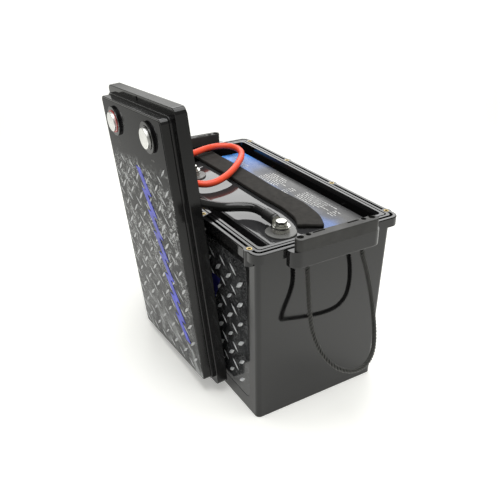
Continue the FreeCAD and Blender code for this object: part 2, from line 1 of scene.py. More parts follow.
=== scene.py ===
"""Looks of an opened deep-cycle battery pack: a glossy black case, its printed lid stood in front,
the wrapped cells inside, two cables and a rope handle.  Lengths in millimetres until a mesh is made."""
import math

import bmesh
import bpy
import numpy as np
from mathutils import Matrix, Vector


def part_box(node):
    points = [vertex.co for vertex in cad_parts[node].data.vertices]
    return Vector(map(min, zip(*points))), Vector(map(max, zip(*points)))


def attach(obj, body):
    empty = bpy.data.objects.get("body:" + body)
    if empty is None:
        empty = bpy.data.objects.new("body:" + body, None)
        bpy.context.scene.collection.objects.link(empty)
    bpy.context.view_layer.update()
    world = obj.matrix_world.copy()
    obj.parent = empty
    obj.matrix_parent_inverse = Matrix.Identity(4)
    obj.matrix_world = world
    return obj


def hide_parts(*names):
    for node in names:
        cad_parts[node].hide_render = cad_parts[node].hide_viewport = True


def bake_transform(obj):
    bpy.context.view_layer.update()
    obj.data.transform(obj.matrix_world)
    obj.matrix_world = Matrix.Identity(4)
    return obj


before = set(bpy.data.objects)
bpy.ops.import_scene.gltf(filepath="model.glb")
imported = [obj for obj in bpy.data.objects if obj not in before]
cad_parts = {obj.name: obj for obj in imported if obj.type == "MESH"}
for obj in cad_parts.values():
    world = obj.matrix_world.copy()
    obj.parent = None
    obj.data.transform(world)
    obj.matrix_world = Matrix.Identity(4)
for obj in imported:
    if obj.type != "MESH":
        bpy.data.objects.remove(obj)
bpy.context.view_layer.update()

MM = 0.001
RNG = np.random.default_rng(27)

# ---- places taken over from the design ------------------------------------
LID_ORIGIN = np.array([0.0, -81.0, 6.5])
LID_LEAN, LID_SPIN = math.radians(4.553), math.radians(3.867)
LID_T = 24.0                      # face of the lid's plateau under its label
LID_LABEL_T = 0.3
LID_HALF_U, LID_V0 = 78.9, 9.8    # half width and lower end of the lid's printed sheet
LID_MARKS_V1 = 252.0              # the tread marks stop short of the terminals
POST_U = 46.0                     # terminals, each side of the middle
PACK_TOP = 190.0
CASE_LABEL_X, CASE_LABEL_Z0, CASE_LABEL_Z1 = 126.7, 15.3, 176.7
RED_R, BLACK_R, ROPE_R = 4.0, 5.0, 2.5

RED_ROUTE = [
    (-62.435, -42.952, 198.2), (-49.112, -51.259, 198.2), (-36.7, -49.6, 198), (-28.5, -39.8, 197.5),
    (-28.5, -27, 198), (-35.5, -10.5, 199.5), (-45, 4, 201.3), (-58.5, 18.5, 202.3), (-76, 34, 202.5),
    (-94, 45, 202.5), (-110, 48, 202.5), (-123, 43.5, 202.7), (-130, 32, 203),
    (-130, 17, 203.2), (-124.5, 2, 203.4), (-118, -12, 203.8), (-113, -28, 204.8),
    (-107.5, -45, 206.8), (-100, -61, 209), (-90, -77, 212), (-79, -91, 216.5),
    (-68.5, -103, 225), (-62.781, -113.882, 240.539), (-63.526, -115.127, 256.172),
]
BLACK_ROUTE = [
    (86.304, -27.586, 199.2), (70.607, -27.272, 199.2), (57.5, -31.5, 199.8), (49, -43, 199.8),
    (46.5, -57, 201.2), (44.5, -73, 205.8), (41.0, -90, 213.0), (36.5, -103.5, 226),
    (31.907, -113.398, 247.056), (29.912, -114.634, 262.58),
]
ROPE_ROUTE = [
    (158, -32.5, 195), (158, -32.5, 176), (158, -30.5, 160), (158.7, -29.5, 144), (163, -30.5, 126),
    (170, -31, 108), (179, -27.5, 90), (191, -19, 76.5), (197.5, -6, 69.5), (197.5, 8, 66),
    (193.5, 23, 66), (186, 36, 70), (176, 45.5, 80), (168, 49.5, 96), (163.5, 49, 114),
    (160.5, 46, 134), (158.4, 40, 157), (158, 32.5, 176), (158, 32.5, 195),
]
STRIP_LINE = [
    (-138, 13), (-100, 13.5), (-50, 14.5), (0, 13.5), (50, 15.5), (75, 15.5), (98, 10.5), (114, 2.5),
]


def lid_axes():
    """Rows u, v, w of the lid: across it, along it from its lower end, out of its printed face."""
    lean_v = np.array([0, -math.sin(LID_LEAN), math.cos(LID_LEAN)])
    lean_w = np.array([0, -math.cos(LID_LEAN), -math.sin(LID_LEAN)])
    x = np.array([1.0, 0, 0])
    u = x * math.cos(LID_SPIN) + lean_v * math.sin(LID_SPIN)
    v = -x * math.sin(LID_SPIN) + lean_v * math.cos(LID_SPIN)
    return np.array([u, v, lean_w])


LID_AXES = lid_axes()


def on_lid(points):
    """Lid points (u, v, w) in the pack's frame: origin plus u, v and w steps along the three axes."""
    return LID_ORIGIN + np.asarray(points, float) @ LID_AXES


# ---- camera -----------------------------------------------------------------
def camera():
    """Camera at azimuth 59 degrees, elevation 27.5, a normal lens 0.75 m from the case."""
    azimuth, elevation, roll, far = math.radians(58.99), math.radians(27.495), math.radians(-0.181), 749.2
    target = Vector((0.74, 0.0, 115.65))
    back = Vector((
        math.sin(azimuth) * math.cos(elevation), -math.cos(azimuth) * math.cos(elevation), math.sin(elevation)
    ))
    data = bpy.data.cameras.new("camera")
    data.sensor_width = 36.0
    data.lens = 45.2
    data.clip_start, data.clip_end = 0.01, 50.0
    cam = bpy.data.objects.new("camera", data)
    bpy.context.scene.collection.objects.link(cam)
    cam.location = (target + back * far) * MM
    turn = back.to_track_quat("Z", "Y").to_matrix() @ Matrix.Rotation(roll, 3, "Z")
    cam.rotation_euler = turn.to_euler()
    bpy.context.scene.camera = cam


# ---- mesh makers ------------------------------------------------------------
def piece(name, verts, faces, material, body=None, smooth=True, merge=0.0):
    """Mesh object from points in millimetres and faces; doubles closer than `merge` mm are joined."""
    mesh = bpy.data.meshes.new(name)
    mesh.from_pydata((np.asarray(verts, float) * MM).tolist(), [], [tuple(map(int, f)) for f in faces])
    if merge:
        bm = bmesh.new()
        bm.from_mesh(mesh)
        bmesh.ops.remove_doubles(bm, verts=bm.verts, dist=merge * MM)
        bmesh.ops.recalc_face_normals(bm, faces=bm.faces)
        bm.to_mesh(mesh)
        bm.free()
    mesh.polygons.foreach_set("use_smooth", [smooth] * len(mesh.polygons))
    mesh.materials.append(material)
    obj = bpy.data.objects.new(name, mesh)
    bpy.context.scene.collection.objects.link(obj)
    if body:
        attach(obj, body)
    return obj


def loft_faces(rings, sides, closed=False, start=0):
    """Quads between successive rings of `sides` points, with a flat cap at each open end."""
    i = np.arange(rings if closed else rings - 1)[:, None]
    j = np.arange(sides)[None, :]
    a = i * sides + j
    b = i * sides + (j + 1) % sides
    c = ((i + 1) % rings) * sides + (j + 1) % sides
    d = ((i + 1) % rings) * sides + j
    quads = (np.stack([a, b, c, d], axis=-1).reshape(-1, 4) + start).tolist()
    if not closed:
        quads.append((np.arange(sides)[::-1] + start).tolist())
        quads.append((np.arange(sides) + (rings - 1) * sides + start).tolist())
    return quads


def frames_along(path):
    """Tangent, side and upper vector at each path point; the side is carried on by the least turn."""
    path = np.asarray(path, float)
    tangent = np.gradient(path, axis=0)
    tangent /= np.linalg.norm(tangent, axis=1)[:, None]
    seed = np.cross(tangent[0], [0.0, 0, 1])
    if np.linalg.norm(seed) < 0.1:
        seed = np.cross(tangent[0], [0.0, 1, 0])
    sides = [seed / np.linalg.norm(seed)]
    for t in tangent[1:]:
        side = sides[-1] - t * (sides[-1] @ t)
        sides.append(side / np.linalg.norm(side))
    side = np.array(sides)
    return tangent, side, np.cross(tangent, side)


def tube(path, radius, sides, turn=0.0):
    """Circle of `radius` (a number or one per station) carried along a path, turned by `turn` radians."""
    path = np.asarray(path, float)
    _, side, upper = frames_along(path)
    radius = np.broadcast_to(np.asarray(radius, float), (len(path),))[:, None, None]
    angle = np.linspace(0, 2 * np.pi, sides, endpoint=False)[None, :, None] + turn
    ring = side[:, None, :] * np.cos(angle) + upper[:, None, :] * np.sin(angle)
    return (path[:, None, :] + ring * radius).reshape(-1, 3), loft_faces(len(path), sides)


def route_line(name, points, steps=12):
    """Points of the smooth line that a route's control points make, in millimetres."""
    data = bpy.data.curves.new(name, "CURVE")
    data.dimensions = "3D"
    spline = data.splines.new("NURBS")
    spline.points.add(len(points) - 1)
    for point, place in zip(spline.points, points):
        point.co = (*[c * MM for c in place], 1.0)
    spline.order_u = 3
    spline.use_endpoint_u = True
    data.resolution_u = steps
    curve = bpy.data.objects.new(name, data)
    bpy.context.scene.collection.objects.link(curve)
    mesh = bpy.data.meshes.new_from_object(curve)
    line = np.zeros(len(mesh.vertices) * 3)
    mesh.vertices.foreach_get("co", line)
    line = line.reshape(-1, 3) / MM
    bpy.data.objects.remove(curve)
    keep = np.concatenate([[True], np.linalg.norm(np.diff(line, axis=0), axis=1) > 1e-4])
    return line[keep]


def even(line, step):
    """The same line with its points `step` apart."""
    run = np.concatenate([[0], np.cumsum(np.linalg.norm(np.diff(line, axis=0), axis=1))])
    at = np.linspace(0, run[-1], max(2, int(round(run[-1] / step))) + 1)
    return np.stack([np.interp(at, run, line[:, k]) for k in range(3)], axis=1), run[-1]


def round_rect(half_x, half_y, r, count):
    """Corner-rounded rectangle as a loop of points, `count` to a corner."""
    cx, cy = half_x - r, half_y - r
    centres = [(cx, cy), (-cx, cy), (-cx, -cy), (cx, -cy)]
    loop = []
    for n, (cx, cy) in enumerate(centres):
        angle = np.linspace(n, n + 1, count) * math.pi / 2
        loop.append(np.stack([cx + r * np.cos(angle), cy + r * np.sin(angle)], axis=1))
    return np.concatenate(loop)


# ---- materials ----------------------------------------------------------------
def toned(color, by):
    """The colour made `by` times as bright, no channel past 1."""
    return tuple(min(1.0, c * by) for c in color)


class Finish:
    """A principled material with short calls for the textures that drive it."""

    def __init__(self, name, color, rough, **sockets):
        self.mat = bpy.data.materials.new(name)
        self.mat.use_nodes = True
        self.tree = self.mat.node_tree
        self.bsdf = self.tree.nodes["Principled BSDF"]
        self.bsdf.inputs["Base Color"].default_value = (*color, 1.0)
        self.bsdf.inputs["Roughness"].default_value = rough
        for key, value in sockets.items():
            self.bsdf.inputs[key.replace("_", " ")].default_value = value
        self.coords = self.tree.nodes.new("ShaderNodeTexCoord")
        self.place = self.coords.outputs["Object"]

    def link(self, a, b):
        self.tree.links.new(a, b)

    def node(self, kind, **values):
        made = self.tree.nodes.new(kind)
        for key, value in values.items():
            setattr(made, key, value)
        return made

    def mapped(self, scale=(1, 1, 1), rotation=(0, 0, 0), location=(0, 0, 0), source=None):
        """Object coordinates scaled, then turned, then moved."""
        made = self.node("ShaderNodeMapping")
        made.inputs["Scale"].default_value = scale
        made.inputs["Rotation"].default_value = rotation
        made.inputs["Location"].default_value = location
        self.link(source or self.place, made.inputs["Vector"])
        return made.outputs["Vector"]

    def noise(self, scale, detail=3.0, rough=0.5, source=None, distortion=0.0):
        made = self.node("ShaderNodeTexNoise")
        made.inputs["Scale"].default_value = scale
        made.inputs["Detail"].default_value = detail
        made.inputs["Roughness"].default_value = rough
        made.inputs["Distortion"].default_value = distortion
        self.link(source or self.place, made.inputs["Vector"])
        return made.outputs["Fac"]

    def math(self, operation, a, b=None, clamp=False):
        made = self.node("ShaderNodeMath", operation=operation, use_clamp=clamp)
        for socket, value in zip(made.inputs, (a, b)):
            if value is None:
                continue
            if isinstance(value, (int, float)):
                socket.default_value = value
            else:
                self.link(value, socket)
        return made.outputs[0]

    def spread(self, fac, low, high, to_low=0.0, to_high=1.0):
        """Maps low..high of a texture to to_low..to_high, clamped."""
        made = self.node("ShaderNodeMapRange")
        self.link(fac, made.inputs["Value"])
        for key, value in zip(("From Min", "From Max", "To Min", "To Max"), (low, high, to_low, to_high)):
            made.inputs[key].default_value = value
        return made.outputs["Result"]

    def ramp(self, fac, stops):
        made = self.node("ShaderNodeValToRGB")
        band = made.color_ramp
        while len(band.elements) < len(stops):
            band.elements.new(0.5)
        for element, (at, color) in zip(band.elements, stops):
            element.position = at
            element.color = (*color, 1.0)
        self.link(fac, made.inputs["Fac"])
        return made.outputs["Color"]

    def blend(self, fac, a, b, mode="MIX"):
        """Colour a to colour b by fac."""
        made = self.node("ShaderNodeMix", data_type="RGBA", blend_type=mode)
        sockets = [s for s in made.inputs if s.type == "RGBA"]
        for socket, value in zip(sockets, (a, b)):
            if isinstance(value, tuple):
                socket.default_value = (*value, 1.0)
            else:
                self.link(value, socket)
        if isinstance(fac, (int, float)):
            made.inputs["Factor"].default_value = fac
        else:
            self.link(fac, made.inputs["Factor"])
        return [s for s in made.outputs if s.type == "RGBA"][0]

    def split(self, vector):
        made = self.node("ShaderNodeSeparateXYZ")
        self.link(vector, made.inputs["Vector"])
        return made.outputs

    def color(self, output):
        self.link(output, self.bsdf.inputs["Base Color"])

    def rough(self, output):
        self.link(output, self.bsdf.inputs["Roughness"])

    def bump(self, height, strength, distance):
        """Surface relief from a texture, stacked on any relief given before."""
        made = self.node("ShaderNodeBump")
        made.inputs["Strength"].default_value = strength
        made.inputs["Distance"].default_value = distance * MM
        self.link(height, made.inputs["Height"])
        normal = self.bsdf.inputs["Normal"]
        if normal.is_linked:
            self.link(normal.links[0].from_socket, made.inputs["Normal"])
        self.link(made.outputs["Normal"], normal)


def moulded_gloss(name, color=(0.006, 0.006, 0.0062), rough=0.05, shine=0.5):
    """Glossy moulded plastic: long faint waves, a breath of dust and hair-fine scratches."""
    f = Finish(name, color, rough, IOR=1.5, Specular_IOR_Level=shine)
    f.bump(f.noise(9.0, 1.0), 0.10, 1.2)
    f.bump(f.noise(420.0, 2.0), 0.04, 0.05)
    smudge = f.spread(f.noise(14.0, 4.0, 0.6), 0.45, 0.75, 0.0, 0.10)
    drawn = f.mapped((40, 260, 900), (0.3, 0.2, 0.5))
    scratch = f.spread(f.noise(3.0, 6.0, 0.8, drawn), 0.66, 0.72, 0.0, 0.10)
    f.rough(f.math("ADD", f.math("ADD", smudge, scratch), rough))
    dust = f.spread(f.noise(900.0, 2.0, 0.7), 0.62, 0.80, 0.0, 0.02)
    f.color(f.blend(dust, tuple(color), (0.20, 0.20, 0.19)))
    return f.mat


def moulded_matte(name, color=(0.030, 0.0295, 0.028), rough=0.42):
    """Spark-eroded black plastic: a fine even grain, its tone mottled at random."""
    f = Finish(name, color, rough, IOR=1.5, Specular_IOR_Level=0.3)
    f.bump(f.noise(1600.0, 2.0), 0.35, 0.06)
    f.rough(f.spread(f.noise(35.0, 3.0), 0.3, 0.7, rough - 0.06, rough + 0.08))
    f.color(f.ramp(f.noise(60.0, 4.0, 0.6), [(0.3, toned(color, 0.85)), (0.75, toned(color, 1.3))]))
    return f.mat


def bright_metal(name, color, rough, grain=1.0):
    """Plated or brushed metal with a fine turned grain and small dull spots."""
    f = Finish(name, color, rough, Metallic=1.0)
    lines = f.noise(600.0, 3.0, 0.6, f.mapped((1, 1, 14)))
    f.bump(lines, 0.12 * grain, 0.03)
    f.rough(f.spread(f.noise(180.0, 3.0), 0.35, 0.7, rough * 0.8, rough * 1.5))
    f.color(f.ramp(f.noise(90.0, 3.0), [(0.35, toned(color, 0.86)), (0.7, color)]))
    return f.mat


def silicone(name, color, rough):
    """Soft cable insulation: satin, faintly uneven, with a little bloom of dust."""
    f = Finish(name, color, rough, IOR=1.45)
    f.bump(f.noise(120.0, 2.0), 0.10, 0.25)
    f.rough(f.spread(f.noise(45.0, 3.0), 0.3, 0.7, rough * 0.85, rough * 1.2))
    f.color(f.ramp(f.noise(70.0, 3.0), [(0.3, toned(color, 0.82)), (0.7, color)]))
    return f.mat


def foam(name, color=(0.024, 0.0225, 0.0205)):
    """Closed-cell foam: matte, pitted with open cells of two sizes."""
    f = Finish(name, color, 0.92, IOR=1.35)
    cells = f.node("ShaderNodeTexVoronoi")
    cells.inputs["Scale"].default_value = 1300.0
    f.link(f.place, cells.inputs["Vector"])
    f.bump(cells.outputs["Distance"], 0.45, 0.12)
    f.bump(f.noise(240.0, 4.0), 0.25, 0.25)
    f.color(f.ramp(f.noise(150.0, 4.0, 0.65), [(0.3, toned(color, 0.75)), (0.72, toned(color, 1.35))]))
    return f.mat


def rope_fibre(name):
    """Black twisted filament: fine lines along the strand, a few worn hairs, and a painted grey highlight on
    each strand's crown with painted shade in the grooves between strands.
    """
    f = Finish(name, (0.022, 0.022, 0.021), 0.4)
    uv = f.node("ShaderNodeUVMap", uv_map="strand")
    lines = f.noise(1.0, 3.0, 0.7, f.mapped((14, 1.1, 1), source=uv.outputs["UV"]))
    f.bump(lines, 0.5, 0.12)
    # The darker ramp is painted shade for the grooves between strands. The paler ramp is a painted grey
    # highlight, blended in from 0.78 to 0.98 of the rope's radius out from its axis.
    dark = f.ramp(lines, [(0.35, (0.004, 0.004, 0.004)), (0.75, (0.014, 0.014, 0.013))])
    crown_highlight = f.ramp(lines, [(0.35, (0.030, 0.030, 0.027)), (0.75, (0.110, 0.110, 0.100))])
    crown = f.split(f.node("ShaderNodeUVMap", uv_map="crown").outputs["UV"])[0]
    f.color(f.blend(f.spread(crown, 0.78, 0.98), dark, crown_highlight))
    f.rough(f.spread(lines, 0.3, 0.7, 0.38, 0.62))
    return f.mat


def lid_place(f):
    """Mapping that turns Object coordinates into the lid's own u, v, w."""
    turn = Matrix(LID_AXES.tolist())
    shift = -(turn @ Vector(LID_ORIGIN * MM))
    return f.mapped(rotation=tuple(turn.to_euler("XYZ")), location=tuple(shift))


def contour(f, place, scale, distortion, wide):
    """Curled strokes: 1 where a noise passes a half within `wide`, falling to 0 either side."""
    away = f.math("ABSOLUTE", f.math("SUBTRACT", f.noise(scale, 2.0, 0.5, place, distortion), 0.5))
    return f.spread(away, wide * 0.35, wide, 1.0, 0.0)


def tread_print(name, place_of, fade, dark=(0.012, 0.012, 0.014), light=(0.075, 0.078, 0.080), shine=0.5):
    """Printed picture of worn steel plate under gloss film: swirls, cross scratches, mottling.

    place_of gives the texture space; fade(f, place) gives the shares of mottling and of bright strokes."""
    f = Finish(name, dark, 0.10, IOR=1.5, Specular_IOR_Level=shine)
    place = place_of(f)
    swirl = f.noise(26.0, 5.0, 0.62, place, 1.6)
    worn = f.spread(swirl, 0.35, 0.72)
    hair_a = f.noise(1.0, 5.0, 0.75, f.mapped((90, 1500, 90), (0, 0, 0.8), source=place))
    hair_b = f.noise(1.0, 5.0, 0.75, f.mapped((1500, 90, 90), (0, 0, -0.7), source=place))
    hairs = f.math("MAXIMUM", f.spread(hair_a, 0.60, 0.74), f.spread(hair_b, 0.62, 0.76))
    tone = f.math("ADD", f.math("MULTIPLY", worn, 0.55), f.math("MULTIPLY", hairs, 0.45), clamp=True)
    share, strokes = fade(f, place)
    base = f.ramp(f.math("MULTIPLY", tone, share), [(0.0, dark), (0.55, light), (1.0, toned(light, 4.0))])
    turned = f.mapped(rotation=(0.4, 0.2, 1.1), source=place)
    curls = f.math("MAXIMUM", contour(f, place, 95.0, 1.0, 0.022), contour(f, turned, 130.0, 1.4, 0.028))
    broken = f.math("MULTIPLY", curls, f.spread(f.noise(70.0, 3.0, 0.6, place), 0.42, 0.56))
    f.color(f.blend(f.math("MULTIPLY", broken, strokes), base, (0.50, 0.51, 0.51)))
    f.bump(f.noise(10.0, 1.0), 0.10, 1.0)
    f.rough(f.spread(f.noise(18.0, 4.0), 0.4, 0.75, 0.09, 0.20))
    return f.mat


def fade_lid(f, place):
    """Print ends in a ragged line toward the terminals; its mottling carries a painted sheen, brightest at
    the lid's lower end, and its bright strokes fade toward that end.
    """
    out = f.split(place)
    ragged = f.math("MULTIPLY", f.math("SUBTRACT", f.noise(60.0, 3.0, 0.6, place), 0.5), 0.030)
    end = f.spread(f.math("ADD", out[1], ragged), 0.246, 0.232)
    # Painted sheen: the mottling's share runs from 2.1 at 30 mm up the lid to 0.22 by 125 mm, a painted
    # reflection brighter toward the lid's lower end.
    painted_foot_sheen = f.spread(f.math("ADD", out[1], f.math("MULTIPLY", ragged, 2.0)), 0.030, 0.125, 2.1, 0.22)
    upper = f.spread(out[1], 0.060, 0.150, 0.30, 1.0)
    return f.math("MULTIPLY", end, painted_foot_sheen), f.math("MULTIPLY", end, upper)


def fade_none(f, place):
    """Full print, its mottling a little darker below 30 mm up the case."""
    out = f.split(place)
    return f.spread(out[2], 0.010, 0.030, 0.7, 1.0), 0.16


def silver_mark(name, tone=1.0):
    """Lozenges of the tread pattern: worn silver ink under gloss, scaled in brightness by `tone`; the tone
    paints light into the ink, a lit copy for the case and a shaded copy for the lid.
    """
    f = Finish(name, (0.74, 0.75, 0.77), 0.30, Metallic=0.2, IOR=1.5)
    stops = [(0.28, (0.26, 0.27, 0.29)), (0.55, (0.70, 0.71, 0.73)), (0.8, (0.92, 0.93, 0.94))]
    f.color(f.ramp(f.noise(240.0, 4.0, 0.7), [(at, toned(color, tone)) for at, color in stops]))
    f.bump(f.noise(500.0, 3.0), 0.2, 0.1)
    return f.mat


def blue_ink(name, color=(0.035, 0.045, 0.50), rough=0.14):
    """Deep blue ink bars, lighter where the scuffed film scatters light."""
    f = Finish(name, color, rough, IOR=1.5, Specular_IOR_Level=0.15)
    scuffed = tuple(min(1.0, c * 1.5 + 0.02) for c in color)
    f.color(f.ramp(f.noise(55.0, 4.0, 0.65), [(0.3, toned(color, 0.7)), (0.7, scuffed)]))
    f.rough(f.spread(f.noise(30.0, 3.0), 0.4, 0.7, rough, rough + 0.12))
    return f.mat


def pack_print(name):
    """Satin label: bright blue at the left end and along its front edge, dark grey over the rest."""
    f = Finish(name, (0.3, 0.32, 0.36), 0.22, IOR=1.48, Specular_IOR_Level=0.2)
    out = f.split(f.place)
    drift = f.math("MULTIPLY", f.math("SUBTRACT", f.noise(12.0, 3.0), 0.5), 0.05)
    along = f.spread(f.math("ADD", out[0], drift), -0.120, -0.030)
    front = f.spread(f.math("ADD", out[1], drift), 0.024, 0.040, 0.5, 1.0)
    fac = f.math("MULTIPLY", along, front, True)
    blues = [
        (0.0, (0.04, 0.22, 0.62)), (0.45, (0.07, 0.13, 0.32)),
        (0.75, (0.045, 0.052, 0.075)), (1.0, (0.040, 0.040, 0.041)),
    ]
    f.color(f.ramp(fac, blues))
    f.bump(f.noise(25.0, 2.0), 0.15, 0.8)
    f.rough(f.spread(f.noise(40.0, 3.0), 0.3, 0.7, 0.18, 0.32))
    return f.mat


def film(name):
    """Glossy black wrap film, drawn tight but not flat."""
    f = Finish(name, (0.026, 0.026, 0.027), 0.06, IOR=1.52)
    f.bump(f.noise(16.0, 2.0, 0.4), 0.25, 1.4)
    f.rough(f.spread(f.noise(22.0, 4.0), 0.45, 0.75, 0.05, 0.14))
    return f.mat


MATS = {
    "gloss": moulded_gloss("gloss_black_plastic"),
    "lid_gloss": moulded_gloss("gloss_black_lid", rough=0.10, shine=0.34),
    "matte": moulded_matte("matte_black_plastic"),
    "rubber": moulded_matte("seal_rubber", (0.012, 0.012, 0.012), 0.7),
    "brass": bright_metal("brass", (0.55, 0.42, 0.17), 0.30),
    "steel": bright_metal("bright_steel", (0.66, 0.66, 0.62), 0.20),
    "tin": bright_metal("tinned_copper", (0.78, 0.77, 0.72), 0.30),
    "disc": bright_metal("terminal_disc", (0.90, 0.90, 0.88), 0.34, 0.6),
    "can": bright_metal("cell_can", (0.35, 0.45, 0.62), 0.4),
    "board": moulded_gloss("board_green", (0.02, 0.14, 0.06), 0.3),
    "red": silicone("red_insulation", (0.80, 0.075, 0.028), 0.38),
    "black": silicone("black_insulation", (0.012, 0.012, 0.012), 0.12),
    "sleeve_red": silicone("red_sleeve", (0.55, 0.03, 0.02), 0.45),
    "sleeve_black": silicone("black_sleeve", (0.016, 0.016, 0.016), 0.30),
    "ring_red": moulded_gloss("red_collar", (0.42, 0.015, 0.012), 0.2),
    "ring_black": moulded_gloss("black_collar", (0.015, 0.015, 0.015), 0.15),
    "foam": foam("foam"),
    "rope": rope_fibre("rope_fibre"),
    # The lid's copy of the print: specular level 0.05, with a painted sheen in its colour through fade_lid, a
    # painted reflection brighter toward the lid's lower end.
    "lid_print": tread_print(
        "lid_tread_print_painted_sheen", lid_place, fade_lid, (0.008, 0.008, 0.009), (0.075, 0.077, 0.078), 0.05,
    ),
    "case_print": tread_print("case_tread_print", lambda f: f.place, fade_none, light=(0.048, 0.050, 0.052)),
    # One silver ink in two copies, each toned to how bright its marks look where they sit: painted light,
    # 1.05 on the case's walls, and 0.75 on the lid as painted shade.
    "silver": silver_mark("silver_ink", 1.05),
    "silver_shaded_copy": silver_mark("silver_ink_shaded_copy", 0.75),
    "blue": blue_ink("blue_ink"),
    "dark_blue": blue_ink("dark_blue_ink", (0.02, 0.02, 0.16)),
    "pack_print": pack_print("pack_label_print"),
    "film": film("wrap_film"),
    "base_grey": moulded_matte("base_grey_plastic", (0.10, 0.10, 0.096), 0.30),
    "white_ink": blue_ink("white_ink", (0.55, 0.55, 0.54), 0.3),
}

NODE_FINISH = [
    ("case_shell", "gloss"), ("case_label", "case_print"), ("brass_inserts", "brass"),
    ("seal_cord", "rubber"),
    ("bracket_base", "gloss"), ("bracket_cap", "matte"), ("bracket_screws", "steel"), ("rope_stops", "tin"),
    ("foam", "foam"), ("pack_wrap", "film"), ("top_sheet", "film"), ("pack_label", "pack_print"),
    ("cell_links", "tin"), ("cell_", "can"), ("protection_board", "board"), ("board_heat_sink", "can"),
    ("pack_base", "base_grey"), ("pack_post", "tin"), ("pack_washer", "steel"), ("pack_spring", "steel"),
    ("pack_bolt", "steel"), ("pack_lug", "tin"), ("lid_lug", "tin"), ("lid_nut", "steel"),
    ("lid_shell", "lid_gloss"), ("lid_label", "lid_print"), ("lid_terminal", "disc"),
    ("lid_collar_pos", "ring_red"), ("lid_collar_neg", "ring_black"), ("pack_sleeve_pos", "sleeve_red"),
    ("lid_sleeve_pos", "sleeve_red"), ("pack_sleeve_neg", "sleeve_black"), ("lid_sleeve_neg", "sleeve_black"),
    ("red_cable", "red"), ("black_cable", "black"), ("rope_right", "rope"),
]


def dress_nodes():
    """Gives each carried-over node the finish of the first name in the list that it starts with."""
    for name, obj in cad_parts.items():
        finish = next(f for start, f in NODE_FINISH if name.startswith(start))
        obj.data.materials.clear()
        obj.data.materials.append(MATS[finish])


# ---- cords --------------------------------------------------------------------
def cable(name, node, route, radius, material):
    """Insulated cable on its route, from the pack's lug to the lid's, as one fixed mesh."""
    line, length = even(route_line(name + "_line", route), 1.6)
    verts, faces = tube(line, radius, 32)
    obj = piece(name, verts, faces, material)
    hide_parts(node)
    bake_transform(obj)


def lug_shrink():
    """Black shrink tube over the negative lug's barrel: a straight tube, its mouth drawn in a little."""
    s = np.linspace(0, 1, 9)
    start, end = np.array([83.0, -27.5, 199.2]), np.array([97.4, -27.8, 199.0])
    path = start + (end - start) * s[:, None]
    radius = 5.75 - 0.35 * np.clip((s - 0.7) / 0.3, 0, 1) ** 2
    verts, faces = tube(path, radius, 32)
    piece("lug_shrink_neg", verts, faces, MATS["sleeve_black"], "case")


def rope():
    """Three strands laid round each other, each a bundle of small yarns, along the handle's route.

    Strand k's centre turns about the route at offset a with phase 2 pi k / 3; its outline is a circle
    whose radius ripples once per yarn, and the yarns turn the other way."""
    line, length = even(route_line("rope_line", ROPE_ROUTE), 0.75)
    _, side, upper = frames_along(line)
    strand_r = 0.4641 * ROPE_R * 1.05
    offset = ROPE_R - strand_r
    pitch, yarn_pitch, yarns, sides = 10.5, 8.0, 5, 24
    run = np.linspace(0, length, len(line))
    verts, faces, uvs, crowns = [], [], [], []
    for k in range(3):
        phase = 2 * np.pi * (run / pitch + k / 3)
        centre = line + offset * (side * np.cos(phase)[:, None] + upper * np.sin(phase)[:, None])
        angle = np.linspace(0, 2 * np.pi, sides, endpoint=False)[None, :]
        ripple = 1 + 0.07 * np.cos(yarns * angle - 2 * np.pi * (run / yarn_pitch)[:, None])
        radius = (strand_r * ripple)[:, :, None]
        ring = side[:, None, :] * np.cos(angle)[:, :, None] + upper[:, None, :] * np.sin(angle)[:, :, None]
        strand = centre[:, None, :] + ring * radius
        faces += loft_faces(len(line), sides, start=sum(len(v) for v in verts))
        verts.append(strand.reshape(-1, 3))
        # crown UV: each point's distance from the rope's axis over the rope's radius. The fibre material uses
        # it to paint a highlight on the strands' crowns and shade in the grooves.
        away = np.linalg.norm(strand - line[:, None, :], axis=2).reshape(-1) / ROPE_R
        crowns.append(np.stack([away, away * 0], axis=-1))
        around = angle / (2 * np.pi) * yarns - (run / yarn_pitch)[:, None]
        down = np.broadcast_to((run / 2.0)[:, None], around.shape)
        uvs.append(np.stack([around, down], axis=-1).reshape(-1, 2))
    obj = piece("rope_handle", np.concatenate(verts), faces, MATS["rope"])
    corner = np.zeros(len(obj.data.loops), int)
    obj.data.loops.foreach_get("vertex_index", corner)
    for layer_name, points in (("strand", uvs), ("crown", crowns)):
        layer = obj.data.uv_layers.new(name=layer_name)
        layer.data.foreach_set("uv", np.concatenate(points)[corner].reshape(-1))
    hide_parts("rope_right")
    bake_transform(obj)


# ---- foam ------------------------------------------------------------------------
def foam_ribbon():
    """Strip of foam on the pack: a soft-cornered section carried along an S, its top slightly uneven.

    Section: a rectangle 27 by 4.5 with round corners; height ripples by summed sines along and across."""
    base = np.array([(x, y, 0.0) for x, y in STRIP_LINE])
    key = np.linspace(0, 1, len(base))
    fine = np.linspace(0, 1, 181)
    line = smooth_through(key, base, fine)
    _, side, _ = frames_along(line)
    side[:, 2] = 0
    loop = round_rect(13.4, 2.2, 1.1, 5)
    across = loop[:, 0][None, :]
    high = loop[:, 1][None, :] + 2.25
    run = (fine * 260)[:, None]
    ripple = 0.16 * np.sin(run / 17 + across / 9) + 0.12 * np.sin(run / 7.3 - across / 5)
    z = PACK_TOP + 0.05 + high + ripple * (high > 2.0) * 0.8 + 0.1 * (high > 2.0)
    wander = 0.35 * np.sin(run / 23) + 0.2 * np.sin(run / 9.1)
    x = line[:, :1] + side[:, :1] * (across + wander)
    y = line[:, 1:2] + side[:, 1:2] * (across + wander)
    verts = np.stack([x, y, z], axis=-1).reshape(-1, 3)
    faces = loft_faces(len(line), len(loop))
    obj = piece("foam_ribbon", verts, faces, MATS["foam"], "case", merge=0.001)
    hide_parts("foam_strip")


